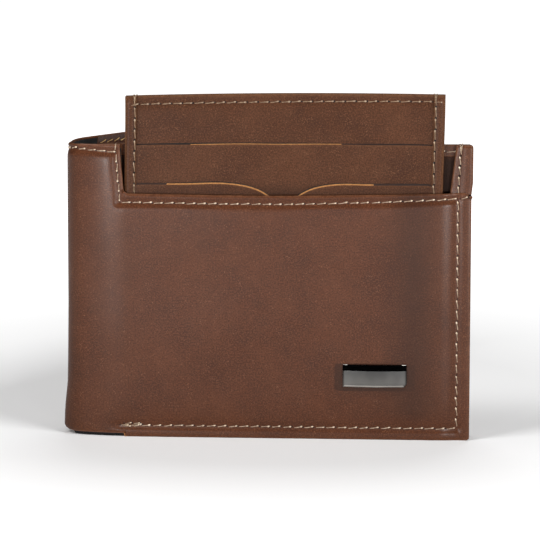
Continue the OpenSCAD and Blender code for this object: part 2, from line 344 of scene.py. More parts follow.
def make_object(name, points, flats, faces, paint, materials, numbers=(), sharp=()):
    """A smooth object. Each point keeps its flat position, which its grain follows."""
    mesh = bpy.data.meshes.new(name)
    mesh.from_pydata((np.array(points) * MM).tolist(), [], faces)
    mesh.polygons.foreach_set("material_index", paint)
    mesh.polygons.foreach_set("use_smooth", [True] * len(faces))
    flat = mesh.attributes.new("flat", "FLOAT_VECTOR", "POINT")
    flat.data.foreach_set("vector", np.array(flats, np.float32).ravel())
    for key, values in numbers:
        attribute = mesh.attributes.new(key, "FLOAT", "POINT")
        attribute.data.foreach_set("value", np.array(values, np.float32))
    for material in materials:
        mesh.materials.append(material)
    bm = bmesh.new()
    bm.from_mesh(mesh)
    bmesh.ops.recalc_face_normals(bm, faces=bm.faces[:])
    bm.verts.ensure_lookup_table()
    for a, b in sharp:
        edge = bm.edges.get((bm.verts[a], bm.verts[b]))
        if edge:
            edge.smooth = False
    bm.to_mesh(mesh)
    bm.free()
    return linked(name, mesh)


# How fast the lighter wear of an edge fades, and how much of it the face behind gets
WEAR_FADE = 0.35
WEAR_BEHIND = 0.5


def sheet(name, loop, rows, place, materials, step=2.0, at_s=(), at_z=(), dent=None,
          seam=None, raw=None, paint_face=None, grain=0.0, burnish=None, unrolled=None):
    """A sheet with that outline and edge, and mesh lines every step and at_s and at_z.

    Another sheet carries on at the line s = seam. raw(s, z) gives the material of a cut edge, or
    0, and paint_face(s, z) that of a face. dent(s, z) presses the face that shows, a function of
    (s, z) for painted shade darkens it, grain shifts its grain, and unrolled(s) says where it lies
    on the hide.
    """
    reach, thick = rows[0][0], rows[-1][1]
    bm = bmesh.new()
    bm.faces.new([bm.verts.new((*p, 0)) for p in grown(loop, -reach, seam)])
    for axis, extra in enumerate((at_s, at_z)):
        low, high = (f(v.co[axis] for v in bm.verts) for f in (min, max))
        count = max(1, round((high - low) / step))
        lines = [low + (high - low) * i / count for i in range(1, count)]
        for line in lines + [x for x in extra if low < x < high]:
            at, normal = Vector((0, 0, 0)), Vector((0, 0, 0))
            at[axis], normal[axis] = line, 1
            geometry = bm.verts[:] + bm.edges[:] + bm.faces[:]
            bmesh.ops.bisect_plane(bm, geom=geometry, dist=1e-4, plane_co=at, plane_no=normal)
    bm.verts.index_update()
    grid = [v.co.copy() for v in bm.verts]
    n = len(grid)
    front = [[v.index for v in f.verts] for f in bm.faces]
    after = {}
    for e in bm.edges:
        if e.is_boundary:
            corner = e.link_loops[0]
            after[corner.vert.index] = corner.link_loop_next.vert.index
    bm.free()
    first = min(after)
    rim = [first]
    while after[rim[-1]] != first:
        rim.append(after[rim[-1]])
    if doubled_area([grid[i] for i in rim]) < 0:
        rim.reverse()
    rim_loop = [grid[i].to_2d() for i in rim]

    s = [p.x for p in grid] * 2
    z = [p.y for p in grid] * 2
    w = [0.0] * n + [thick] * n
    wear = [0.0] * (2 * n)
    rings = [rim]
    for inset, depth, _ in rows[1:-1]:
        rings.append(list(range(len(s), len(s) + len(rim))))
        for p in grown(rim_loop, reach - inset, seam):
            s.append(p.x)
            z.append(p.y)
            w.append(depth)
            wear.append(math.exp(-inset / WEAR_FADE) * (1 if depth < thick * 0.8 else WEAR_BEHIND))
    rings.append([i + n for i in rim])

    faces = [list(f) for f in front] + [[i + n for i in reversed(f)] for f in front]
    paint = [0] * len(faces)
    if paint_face:
        middle = [(sum(s[i] for i in f) / len(f), sum(z[i] for i in f) / len(f)) for f in front]
        paint[:len(front)] = [paint_face(*m) for m in middle]
    sharp = []
    for k, (a, b) in enumerate(zip(rings, rings[1:])):
        cut_row = rows[k + 1][2]
        for i in range(len(rim)):
            j = (i + 1) % len(rim)
            faces.append([a[i], b[i], b[j], a[j]])
            index = (1 if raw is None else raw(s[b[i]], z[b[i]])) if cut_row else 0
            if paint_face and not index:
                index = paint_face((s[b[i]] + s[b[j]]) / 2, (z[b[i]] + z[b[j]]) / 2)
            paint.append(index)
    if seam is not None:
        on = [abs(p.x - seam) < ON_SEAM for p in rim_loop]
        for i in range(len(rim)):
            j = (i + 1) % len(rim)
            if on[i] and on[j]:
                sharp += [(rings[0][i], rings[0][j]), (rings[-1][i], rings[-1][j])]
            if on[i] != on[j]:
                k = i if on[i] else j
                sharp += [(a[k], b[k]) for a, b in zip(rings, rings[1:])]

    s, z, w = (np.array(a, float) for a in (s, z, w))
    # A dent presses the face that shows, not the one behind
    pressed = dent(s, z) * (1 - w / thick) if dent else 0
    flats = np.stack([unrolled(s) if unrolled else s, z, w + grain], 1)
    # Painted shade, per point
    dark = burnish(s, z) if burnish else np.zeros_like(s)
    return make_object(name, place(s, z, w + pressed), flats, faces, paint, materials,
                       (("wear", wear), ("burnish", dark)), sharp)


# Stitches: their pitch, the thread's radius in a seam and over an edge, a stitch's rings and
# sides, and where along it the knot sits and how far the painted highlight on the knot reaches
PITCH = 3.25
THREAD_R, WRAP_R = 0.155, 0.13
RINGS, SIDES = 15, 10
KNOT_T, KNOT_REACH = 0.86, 0.14
# A needle hole's sides, and its half length and half width
HOLE_SIDES = 12
HOLE_LONG, HOLE_WIDE = 0.30, 0.32
HOLE_FACES = [[0, 1 + k, 1 + (k + 1) % HOLE_SIDES] for k in range(HOLE_SIDES)]
HOLE_FACES.append([1 + k for k in range(HOLE_SIDES)][::-1])


ANGLES, HOLE_ANGLES = ([2 * math.pi * k / n for k in range(n)] for n in (SIDES, HOLE_SIDES))


def tube(rings):
    """The faces of a closed tube of that many rings."""
    made = [list(range(SIDES))[::-1], [(rings - 1) * SIDES + k for k in range(SIDES)]]
    for r in range(rings - 1):
        for k in range(SIDES):
            m = (k + 1) % SIDES
            made.append([r * SIDES + k, (r + 1) * SIDES + k, (r + 1) * SIDES + m, r * SIDES + m])
    return made


def along(corners, d):
    """The point and direction at that length along a line."""
    for a, b in zip(corners, corners[1:]):
        length = (b - a).length
        if d <= length or b is corners[-1]:
            direction = (b - a).normalized()
            return a + direction * d, direction
        d -= length


def stitch(corners, start, end, turn, wobble, slant):
    """The flat points of one slanted, two-ply stitch, thickest at its knot."""
    made = []
    for r in range(RINGS):
        t = r / (RINGS - 1)
        centre, direction = along(corners, start + (end - start) * t)
        side = Vector((-direction.y, direction.x))
        if side.y < -0.1 or (abs(side.y) <= 0.1 and side.x > 0):
            side = -side
        lean = slant * (2 * t - 1) + wobble[2] * 0.06 + 0.07 * wobble[4] * math.sin(5 * t)
        bulge = math.sin(math.pi * min(1, max(0, 0.04 + 0.92 * t))) ** 0.45
        height = 0.10 * bulge - 0.30 * (1 - bulge) + 0.05 * t
        knot = math.exp(-(((t - KNOT_T) / 0.1) ** 2))
        radius = THREAD_R * (0.5 + 0.28 * bulge + (0.75 + 0.25 * wobble[3]) * knot)
        height += 0.08 * knot
        for theta in ANGLES:
            ply = 1 + 0.16 * math.cos(2 * theta - 2 * math.pi * 1.5 * t + turn)
            across = lean + radius * ply * math.cos(theta)
            made.append((centre.x + side.x * across, centre.y + side.y * across,
                         -height - 0.72 * radius * ply * math.sin(theta)))
    return made


def stitching(name, seams, materials, seed, slant=0.18, wraps=()):
    """Sewn seams. Each seam is a line of (s, z) points, its place function, and its leather's
    relief. A wrap is a thread over an edge: its (s, z, w) points and its place function."""
    rng = np.random.RandomState(seed)
    points, faces, paint, flats = [], [], [], []

    def commit(made, place, dent, new_faces, indices):
        base = len(points)
        s, z, w = (np.array(a, float) for a in zip(*made))
        points.extend(place(s, z, w + (dent(s, z) if dent else 0)).tolist())
        flats.extend(made)
        faces.extend([[i + base for i in f] for f in new_faces])
        paint.extend(indices)

    # Rings near the knot get material 2, a painted highlight
    bright = [2 if abs(r / (RINGS - 1) - KNOT_T) < KNOT_REACH else 0 for r in range(RINGS - 1)]
    stitch_paint = [0, 0] + [b for b in bright for _ in range(SIDES)]
    for line, place, dent in seams:
        corners = [Vector(p) for p in line]
        total = sum((b - a).length for a, b in zip(corners, corners[1:]))
        count = max(1, round(total / PITCH))
        pitch = total / count
        for i in range(count):
            wobble = rng.uniform(-1, 1, 5)
            start = (i + 0.10 + 0.05 * wobble[0]) * pitch
            end = (i + 0.96 + 0.04 * wobble[1]) * pitch
            made = stitch(corners, start, end, i, wobble, slant)
            commit(made, place, dent, tube(RINGS), stitch_paint)
        for i in range(count + 1):
            centre, direction = along(corners, min(total, max(0.0, i * pitch + 0.05)))
            side = Vector((-direction.y, direction.x))
            made = [(centre.x, centre.y, -0.07)]
            for theta in HOLE_ANGLES:
                p = centre + direction * HOLE_LONG * math.cos(theta)
                made.append((*(p + side * HOLE_WIDE * math.sin(theta)), 0.02))
            commit(made, place, dent, HOLE_FACES, [1] * len(HOLE_FACES))

    for path, place in wraps:
        path = [Vector(p) for p in path]
        made = []
        for r, centre in enumerate(path):
            ahead, behind_it = path[min(r + 1, len(path) - 1)], path[max(r - 1, 0)]
            direction = (ahead - behind_it).normalized()
            side = direction.cross(Vector((1, 0, 0))).normalized()
            other = direction.cross(side)
            made += [tuple(centre + WRAP_R * (side * math.cos(a) + other * math.sin(a)))
                     for a in ANGLES]
        wrap_faces = tube(len(path))
        commit(made, place, None, wrap_faces, [0] * len(wrap_faces))
    return make_object(name, points, flats, faces, paint, materials)


def over_edge(s, top, thick, lean=0.3):
    """A thread that goes over a top edge, from the seam in front to the one behind."""
    return [
        (s, top - 1.5, 0.05), (s + 0.1, top - 0.9, -0.09), (s + 0.2, top - 0.15, -0.12),
        (s + lean, top + 0.15, 0.1), (s + lean, top + 0.2, thick / 2),
        (s + lean, top + 0.15, thick - 0.1), (s + 0.2, top - 0.2, thick + 0.1),
        (s, top - 1.4, thick - 0.02),
    ]


# ---- Materials ----


def linear(r, g, b):
    """An sRGB colour of 0 to 255, as the shader takes it."""
    shares = [c / 255 for c in (r, g, b)]
    return [((c + 0.055) / 1.055) ** 2.4 if c > 0.04 else c / 12.92 for c in shares] + [1.0]


class Nodes:
    """A material's node tree, with short ways to add to it."""

    def __init__(self, name):
        self.material = bpy.data.materials.new(name)
        self.material.use_nodes = True
        self.tree = self.material.node_tree
        self.shader = self.tree.nodes["Principled BSDF"]

    def set(self, **values):
        for key, value in values.items():
            self.put(self.shader.inputs[key.replace("_", " ")], value)

    def put(self, socket, value):
        """Links a socket, or sets it to a number, a list, or a tuple that is an sRGB colour."""
        if isinstance(value, bpy.types.NodeSocket):
            self.tree.links.new(value, socket)
        else:
            socket.default_value = linear(*value) if isinstance(value, tuple) else value

    def add(self, kind, output=0, settings=None, **values):
        node = self.tree.nodes.new("ShaderNode" + kind)
        for key, value in (settings or {}).items():
            setattr(node, key, value)
        for key, value in values.items():
            socket = node.inputs[int(key[1:])] if key[0] == "_" else node.inputs[key]
            self.put(socket, value)
        return node.outputs[output]

    def flat(self):
        """Where a point lies on the flat sheet, in millimetres."""
        return self.add("Attribute", 1, {"attribute_name": "flat"})

    def noise(self, where, scale, detail=2.0, rough=0.5):
        return self.add("TexNoise", 0, Vector=where, Scale=scale, Detail=detail, Roughness=rough)

    def product(self, a, b):
        return self.add("Math", 0, {"operation": "MULTIPLY"}, _0=a, _1=b)

    def ramp(self, value, low, high, to_low=0.0, to_high=1.0):
        return self.add("MapRange", 0, _0=value, _1=low, _2=high, _3=to_low, _4=to_high)

    def mix(self, share, a, b):
        return self.add("Mix", 2, {"data_type": "RGBA"}, _0=share, _6=a, _7=b)

    def bump(self, height, distance, strength, **below):
        return self.add("Bump", 0, Height=height, Distance=distance, Strength=strength, **below)


def leather(name, base, dark, light, worn, rough, coat=0.08):
    """Smooth waxed leather: cloudy colour, fine speckle, pores, lighter worn edges, and painted
    shade that darkens it where a point's attribute asks.
    """
    n = Nodes(name)
    at = n.flat()
    clouds = n.noise(at, 0.07, 4.0, 0.6)
    patches = n.noise(at, 0.24, 3.0, 0.6)
    speckle = n.noise(at, 2.2, 2.0, 0.7)
    pores = n.add("TexVoronoi", 0, {"feature": "F1"}, Vector=at, Scale=1.7)
    cloudy = n.ramp(clouds, 0.36, 0.64)
    colour = n.mix(n.product(cloudy, 0.75), dark, light)
    colour = n.mix(n.ramp(patches, 0.30, 0.70, 0.15, 0.85), colour, base)
    colour = n.mix(n.ramp(speckle, 0.51, 0.64, 0.0, 0.80), colour, light)
    colour = n.mix(n.ramp(speckle, 0.49, 0.36, 0.0, 0.80), colour, dark)
    where = n.ramp(n.noise(at, 0.35), 0.45, 0.65)
    specks = n.product(n.ramp(pores, 0.30, 0.12, 0.0, 0.9), where)
    colour = n.mix(specks, colour, worn)
    wear = n.add("Attribute", 2, {"attribute_name": "wear"})
    wear = n.product(wear, n.ramp(n.noise(at, 0.6, 3.0), 0.35, 0.65, 0.25, 0.85))
    colour = n.mix(wear, colour, worn)
    roughness = n.ramp(patches, 0.30, 0.70, rough - 0.07, rough + 0.08)
    fine = n.noise(at, 2.6, 3.0, 0.65)
    creases = n.bump(n.noise(at, 0.55, 4.0, 0.6), 0.00022, 0.8)
    pored = n.bump(pores, 0.00008, 0.7, Normal=creases)
    # Painted shade: a point attribute darkens the colour towards a deeper copy of dark
    burnish = n.add("Attribute", 2, {"attribute_name": "burnish"})
    colour = n.mix(n.product(burnish, 0.9), colour, tuple(0.72 * c for c in dark))
    surface = n.bump(fine, 0.00010, 0.8, Normal=pored)
    n.set(Base_Color=colour, Roughness=roughness, Normal=surface)
    n.set(Specular_IOR_Level=0.06, Coat_Weight=coat, Coat_Roughness=0.27)
    return n.material


def cloth_material(name):
    """Fine black woven lining."""
    n = Nodes(name)
    at = n.flat()
    warp, weft = (
        n.add("TexWave", 1, {"wave_type": "BANDS", "bands_direction": d, "wave_profile": "SIN"},
              Vector=at, Scale=0.9, Distortion=0.25)
        for d in "XY"
    )
    weave = n.product(warp, weft)
    colour = n.mix(n.ramp(weave, 0.0, 0.8), (17, 16, 16), (46, 44, 43))
    n.set(Base_Color=colour, Roughness=n.ramp(n.noise(at, 0.5), 0.3, 0.7, 0.72, 0.9))
    n.set(Normal=n.bump(weave, 0.0001, 0.7), Specular_IOR_Level=0.25)
    return n.material


def thread_material(name, base, shade):
    """Two-ply waxed thread."""
    n = Nodes(name)
    at = n.flat()
    fibre = n.noise(at, 5.0, 2.0, 0.6)
    colour = n.mix(n.ramp(n.noise(at, 0.9), 0.3, 0.7), shade, base)
    colour = n.mix(n.ramp(fibre, 0.45, 0.75, 0.0, 0.4), colour, shade)
    n.set(Base_Color=colour, Roughness=n.ramp(fibre, 0.3, 0.7, 0.5, 0.7))
    n.set(Normal=n.bump(fibre, 0.00004, 0.6), Specular_IOR_Level=0.35)
    return n.material


def metal(name, low, high, rough, metallic=1.0, shade=None):
    """Brushed plated metal, its brushing along the plate. With shade, painted shade darkens it
    towards the top.
    """
    n = Nodes(name)
    at = n.add("TexCoord", 3)
    lines = n.add("Mapping", 0, Vector=at, Scale=[400.0, 400.0, 9000.0])
    brushing = n.noise(lines, 1.0, 2.0)
    tone = n.noise(at, 160.0, 2.0)
    colour = n.mix(n.ramp(tone, 0.3, 0.7), low, high)
    # Painted shade: darker towards the top of the sheet
    if shade:
        up = n.add("SeparateXYZ", 1, _0=n.flat())
        colour = n.mix(n.ramp(up, *shade, 0.0, 0.7), colour, (48, 49, 50))
    n.set(Base_Color=colour, Roughness=n.ramp(brushing, 0.3, 0.7, rough - 0.05, rough + 0.07))
    n.set(Metallic=metallic, Normal=n.bump(brushing, 0.00001, 0.3))
    return n.material


def raw_edge(name, base, dark):
    """The fibrous edge of cut leather."""
    n = Nodes(name)
    at = n.flat()
    fibre = n.noise(at, 1.6, 4.0, 0.7)
    colour = n.mix(n.ramp(fibre, 0.35, 0.65), dark, base)
    n.set(Base_Color=colour, Roughness=n.ramp(fibre, 0.3, 0.7, 0.7, 0.9))
    n.set(Normal=n.bump(fibre, 0.0001, 0.8), Specular_IOR_Level=0.3)
    return n.material


COVER = leather(
    "cover_leather", (80, 42, 22), (62, 32, 16), (99, 57, 33), (120, 79, 54), rough=0.48, coat=0.32)
HOLDER = leather(
    "holder_leather", (76, 45, 28), (59, 34, 21), (95, 60, 39), (118, 82, 56), rough=0.55)
INNER = leather(
    "inner_leather", (78, 45, 29), (61, 35, 22), (97, 59, 39), (114, 76, 54), rough=0.55)
RAW = raw_edge("raw_leather_edge", (182, 128, 74), (140, 92, 50))
RAW_DARK = raw_edge("stained_leather_edge", (128, 84, 60), (88, 56, 42))
LINING = cloth_material("black_lining")
PALE = thread_material("pale_thread", (188, 166, 142), (136, 112, 90))
DIM = thread_material("shaded_thread", (160, 135, 108), (110, 87, 67))
# A lighter copy of the thread, painted as the highlight on each knot
KNOT_HIGHLIGHT = thread_material("pale_thread_knot_highlight", (238, 222, 200), (204, 180, 150))
GOLDEN = thread_material("golden_thread", (240, 198, 130), (204, 158, 92))
# A slot edge's cut, painted in shade
SHADED = raw_edge("shaded_leather_edge", (62, 39, 28), (40, 25, 18))
HOLE = raw_edge("needle_hole", (30, 19, 15), (16, 11, 9))
STEEL = metal("gunmetal_prong", (84, 82, 80), (101, 99, 96), 0.34)
# The plate's face, with painted shade darker towards its top
FACE = metal("gunmetal_face", (82, 80, 78), (100, 98, 95), 0.34,
             shade=(PLATE_LOW.z, PLATE_HIGH.z - 1.6))
# A painted pale reflection on the plate's lower and left rim
RIM_REFLECTION = metal("gunmetal_rim_reflection", (150, 147, 142), (176, 172, 166), 0.3)
# A painted dark reflection on the plate's top bevel
BEVEL_DARK_REFLECTION = metal("gunmetal_bevel_dark_reflection", (2, 2, 2), (5, 5, 6), 0.25, 0.9)
# Painted glints on the plate's upper corners
CORNER_GLINT = metal("gunmetal_corner_glint", (214, 212, 208), (232, 230, 226), 0.3)

# ---- How the pieces move ----

FRONT_BEND = ("front_half", "spine", (FOLD_X + 1, 0), (SPINE_X, FOLD_R + 1))
REAR_BEND = (
    "spine", "rear_half", (SPINE_X, CORNER_Y - TANGENT),
    (SPINE_X + TANGENT * math.cos(REST_OPEN), CORNER_Y + TANGENT * math.sin(REST_OPEN)),
)


def settle(piece, moves, slot, *nodes):
    """Makes a piece ride on a body, or for a bend between two only bakes its transform, and hides
    the CAD nodes it stands for.
    """
    if isinstance(moves, str):
        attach(piece, moves)
    else:
        a, b, *ends = moves
        start, end = [(x * MM, (y + FRONT_Y) * MM, HEIGHT / 2 * MM) for x, y in ends]
        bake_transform(piece)
        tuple(start)
        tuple(end)
    if nodes:
        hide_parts(*nodes)
    return piece


# ---- What the pieces are made of ----

# A slot, its leather or cloth, and what its cut edges show
OUTER = "outer_leather", [COVER, RAW_DARK, RAW]
INSIDE = "inner_leather", [INNER, RAW_DARK]
HELD = "holder_leather", [HOLDER, RAW]
CLOTHS = "lining_cloth", [LINING, LINING]
CLOTH_EDGE = cut(CLOTH, 0.4, 0.08)
HEM_EDGE = turned(HEM, 0.4, 0)
WIDE_HEM_EDGE = turned(HEM, 0.5, 0)
# The covers' edges are turned, and show cut leather only where column_edge says so
COVER_EDGE = [(e, w, 1 if 0.25 < w < 1.0 else 0) for e, w, _ in turned(LEATHER)]


def beside(lines, offsets=(-1.6, -0.8, 0, 0.8, 1.6)):
    """Mesh lines on and beside each of these, so that a groove pressed there shows."""
    return [x + d for x in lines for d in offsets]


def behind(place, depth):
    return lambda s, z, w: place(s, z, w + depth)


def lay(moves, looks, nodes, name, loop, rows, place, **more):
    slot, materials = looks
    return settle(sheet(name, loop, rows, place, materials, **more), moves, slot, *nodes)


def sew(name, seams, moves, nodes, materials=(PALE, HOLE, KNOT_HIGHLIGHT), **more):
    settle(stitching(name, seams, materials, **more), moves, "thread", *nodes)


# ---- Front cover ----

MOUTH_SEAM = [(-43.9, 71.7), (-19.8, 71.4), (4.0, 71.3), (35.0, 72.1), (56.6, 73.2)]
COLUMN_SEAM = [(-43.9, 71.7), (-45.0, 86.6)]
TOP_SEAM = [(SEAM_S + 1.0, 87.2), (-58.0, 87.8), (-45.0, 86.7)]
SIDE_SEAM = [(SIDE_X, 3.6), (SIDE_X, 72.6)]
FOOT_SEAM = [(-45.2, 3.5), (SIDE_X, 3.6)]
# Where the mouth's seam runs on to the free edge, and where the foot's seam is sewn over again
CORNER_SEAM = [(SIDE_X + 0.5, 73.3), (FREE_X - 0.9, 73.7)]
BACK_STITCHES = [[(-43.6, 4.1), (-38.6, 4.15)], [(-44.6, 3.5), (-41.6, 3.2), (-38.0, 3.75)]]

PLATE_X, PLATE_Z = (PLATE_LOW.x + PLATE_HIGH.x) / 2, (PLATE_LOW.z + PLATE_HIGH.z) / 2
PLATE_HALF_X, PLATE_HALF_Z = (PLATE_HIGH.x - PLATE_LOW.x) / 2, (PLATE_HIGH.z - PLATE_LOW.z) / 2

front_ripple = ripple(3, 0.16, 70, 26)


def front_dent(s, z):
    """Unevenness away from the nameplate and the fold, grooves, and the step down to the side."""
    clear = smooth((np.hypot((s - PLATE_X) / 15, (z - PLATE_Z) / 9) - 0.9) / 0.8)
    d = front_ripple(s, z) * clear * smooth((s - FOLD_X + 2) / 8)
    for line in (MOUTH_SEAM, COLUMN_SEAM, TOP_SEAM, SIDE_SEAM, FOOT_SEAM):
        depth = 0.32 if line is SIDE_SEAM else 0.45
        d = np.maximum(d, near_line(s, z, line, depth, 1.2) + 0.4 * d)
    return d + 0.62 * smooth((s - SIDE_X + 4.5) / 4.5) + near_line(s, z, FOOT_SEAM, 0.16, 5.0)


def front_burnish(s, z):
    """Painted shade: darker at the fold and towards the free side, and a painted shadow round the
    nameplate.
    """
    fold = 0.45 * smooth((FOLD_X + 0.5 - s) / 4)
    free = 0.6 * np.exp(-(((s - 44) / 7) ** 2)) * smooth((z - 3) / 6)
    out_s = (np.abs(s - PLATE_X) - PLATE_HALF_X) / 2.7
    below, above = PLATE_Z - PLATE_HALF_Z - z, z - PLATE_Z - PLATE_HALF_Z + 1.2
    out_z = np.where(z < PLATE_Z, below, above) / 1.5
    out = np.maximum(0, out_s) ** 4 + np.maximum(0, out_z) ** 4
    return np.maximum(np.maximum(fold, free), 0.75 * smooth((1.35 - out) / 0.9))


def column_edge(s, z):
    """The cut edges of a cover: at the step of its foot, and along the foot of the spine."""
    if abs(s - COLUMN_X + 0.2) < 0.6 and z < RELIEF_Z + 0.2:
        return 2
    return 1 if s < COLUMN_X and z < RELIEF_Z + 0.3 else 0


# The mouth's edge, from the free side to the column
MOUTH = [(58.5, 75.0), (55.6, 74.85), (45, 74.6), (34.9, 74.4), (20, 74.1), (4.0, 73.9),
         (-10, 73.95), (-19.8, 74.05), (-32, 74.2)]
# A cover's foot steps down from the spine's relief to the floor
FOOT_STEP = [(COLUMN_X - 0.3, RELIEF_Z), (COLUMN_X - 0.1, 0), (FREE_X, 0, 1.0)]
front_loop = outline(
    (SEAM_S, RELIEF_Z), *FOOT_STEP,
    (FREE_X, 73.0), (FREE_X + 0.4, 73.9), (FREE_X + 0.45, 75.0, 0.4), *MOUTH,
    (COLUMN_X + 0.75, 74.35, 1.6), (COLUMN_X + 0.3, 80.0), (COLUMN_X - 0.4, HEIGHT),
    (SEAM_S, HEIGHT),
)
front_lines_s = beside((SIDE_X, -44.4))
front_lines_z = beside((3.55, 71.4, 72.4, 87.2)) + [1.9, 2.3]
# Mesh lines round the nameplate, where its painted shadow fades
for d in (-0.5, 0.5, 1.2, 1.8, 2.2, 2.6, 3.0, 3.5):
    front_lines_s += [PLATE_LOW.x - d, PLATE_HIGH.x + d]
    front_lines_z += [PLATE_LOW.z - 0.6 * d, PLATE_HIGH.z - 1.2 + 0.6 * d]
lay(FRONT_BEND, OUTER, ["front_pocket_panel"], "front_cover", front_loop, COVER_EDGE,
    round_front, step=1.5, at_s=front_lines_s, at_z=front_lines_z, dent=front_dent, seam=SEAM_S,
    raw=column_edge, burnish=front_burnish)

# ---- Rear cover ----

REAR_TOP = [(REAR_SEAM_U + 1.0, 87.2), (FREE_X - 3.4, 87.0)]
REAR_SIDE = [(SIDE_X, 4.0), (SIDE_X, 85.0)]
REAR_SEAMS = (REAR_TOP, REAR_SIDE, FOOT_SEAM)
rear_ripple = ripple(8, 0.2, 75, 28)


def rear_dent(s, z):
    d = rear_ripple(s, z) * smooth((s - BEND_U) / 8)
    for line in REAR_SEAMS:
        d = np.maximum(d, near_line(s, z, line, 0.42, 1.5) + 0.4 * d)
    return d


rear_loop = outline(
    (REAR_SEAM_U, RELIEF_Z), *FOOT_STEP, (FREE_X, HEIGHT, 2.0), (REAR_SEAM_U, HEIGHT))
lay(REAR_BEND, OUTER, ["spine_leather", "rear_outer_panel"], "rear_cover", rear_loop,
    COVER_EDGE, round_rear, step=2.0, at_s=beside([SIDE_X]), at_z=beside((3.55, 87.1)),
    dent=rear_dent, seam=REAR_SEAM_U, raw=column_edge,
    # Painted shade, darker towards the bend
    burnish=lambda s, z: 0.45 * smooth((BEND_U - 2 - s) / 6),
    unrolled=lambda s: SEAM_S + REAR_SEAM_U - s)

# ---- Linings and hems of the covers ----

front_lining = lay(
    FRONT_BEND, CLOTHS, ["front_fold_lining"], "front_fold_cloth", outline(
        (SEAM_S, LINING_Z), (FOLD_X - 5.2, LINING_Z), (FOLD_X - 3.0, 0.0), (COLUMN_X, 0),
        (COLUMN_X, HEIGHT - 1.2), (SEAM_S, HEIGHT - 1.2)),
    CLOTH_EDGE, behind(round_front, LEATHER), step=2.2, seam=SEAM_S, grain=80)
rear_lining = lay(
    REAR_BEND, CLOTHS, ["spine_lining", "rear_note_lining"], "rear_cover_cloth", outline(
        (REAR_SEAM_U, LINING_Z), (BEND_U - 6, LINING_Z), (BEND_U - 3, 0), (WING_X, 0),
        (WING_X, 3.8), (FREE_X - 0.6, 3.8), (FREE_X - 0.6, HEIGHT - TOP_HEM),
        (WING_X, HEIGHT - TOP_HEM), (WING_X, HEIGHT - 0.6), (REAR_SEAM_U, HEIGHT - 0.6)),
    CLOTH_EDGE, behind(round_rear, LEATHER), step=2.4, seam=REAR_SEAM_U, grain=90)
lay(FRONT_BEND, OUTER, ["column_top_hem"], "column_turned_top",
    block(FOLD_X, COLUMN_X - 0.3, HEIGHT - TOP_HEM, HEIGHT), HEM_EDGE,
    behind(round_front, LEATHER), step=2.2, grain=120)
# The foot's turned edge and two welts, with the depth of each behind the cover's face
for name, node, loop, rows, depth in (
    ("front_turned_foot", "front_bottom_hem", block(COLUMN_X, FREE_X - 1, 0, FOOT_HEM),
     turned(1.0, 0.7, 0), LEATHER),
    ("pocket_foot_welt", "pocket_bottom_welt", block(COLUMN_X, FREE_X - 1, LEAF_Z, FOOT_HEM),
     cut(BACK_Y - 2.2, 0.5, 0.3), 2.2),
    ("pocket_spine_welt", "pocket_left_welt",
     block(WING_X, COLUMN_X - 0.8, FOOT_HEM, HEIGHT - 1), cut(BACK_Y - 2.3, 0.5, 0.3), 2.3),
):
    lay("front_half", INSIDE, [node], name, loop, rows, front_layer(depth), step=3.0,
        grain=130 + depth)

# ---- The pocket behind the mouth ----

BACK_SEAM = [(COLUMN_X + 1.5, 86.8), (FREE_X - 4.6, 86.9)]
FACING_SEAM = [(SIDE_X, 74.0), (SIDE_X + 0.75, 88.9)]


def free_side(low, reach):
    """Corners up the free side, which reaches a little past the free edge above the mouth."""
    return ((FREE_X, low), (FREE_X, MOUTH_Z), (FREE_X + reach, 78), (FREE_X + reach, HEIGHT, 0.9))


lay("front_half", ("outer_leather", INSIDE[1]), ["pocket_back_panel"], "pocket_back_leather",
    outline((WING_X, LEAF_Z), *free_side(LEAF_Z, 0.4), (WING_X, HEIGHT)), turned(1.0),
    front_layer(BACK_Y), step=2.0, at_z=[85.8, 86.4, 86.8, 87.4],
    dent=groove(BACK_SEAM, 0.25, 0.8), grain=160,
    # Painted shade in the recess below the turned top
    burnish=lambda s, z: smooth((86.6 - z) / 1.5))
lay("front_half", OUTER, ["pocket_back_hem"], "pocket_back_turned_top",
    block(COLUMN_X - 0.6, FREE_X - 3.4, HEIGHT - FOOT_HEM, HEIGHT - 0.1), HEM_EDGE,
    front_layer(BACK_Y - HEM), step=2.0, grain=165)
facing_low, facing_high = HOLDER_HIGH.x + 1.5, HOLDER_HIGH.x + 3.4
lay("front_half", OUTER, ["pocket_side_facing"], "pocket_side_strip",
    outline((facing_low, FOOT_HEM), *free_side(FOOT_HEM, 0.45), (facing_high, HEIGHT),
            (facing_low, MOUTH_Z)),
    squared(BACK_Y - LEATHER), front_layer(LEATHER), step=1.6,
    at_s=beside([SIDE_X], (-0.8, 0, 0.8)), dent=groove(FACING_SEAM, 0.35, 1.2), grain=170)
pocket_cloth = lay(
    "front_half", CLOTHS, ["pocket_lining"], "pocket_back_cloth",
    block(COLUMN_X + 3.4, HOLDER_HIGH.x - 4, FOOT_HEM, HEIGHT - FOOT_HEM), CLOTH_EDGE,
    front_layer(BACK_Y - CLOTH), step=3.0, grain=175)

# ---- Inside leaves and card slots ----

note_cloth = lay(
    "front_half", CLOTHS, ["front_note_lining"], "front_note_cloth",
    block(WING_X, FREE_X - 0.3, LEAF_Z, HEIGHT - 1), CLOTH_EDGE, front_layer(BACK_Y + 1.0),
    step=3.0, grain=180)

LEAF_SEAMS = [
    [(WING_X + 3.4, 3.4), (FREE_X - 3.4, 3.4)],
    [(FREE_X - 3.4, 5.0), (FREE_X - 3.4, SLOT_TOPS[-1] - 1.5)],
]
# Offsets of the mesh lines round the crease below a leaf's top edge, and round its foot's seam
CREASE = 1.6
CREASE_LINES = (1.2, CREASE, 2.0)
LEAF_SEAM_LINES = [2.6, 3.4, 4.2]


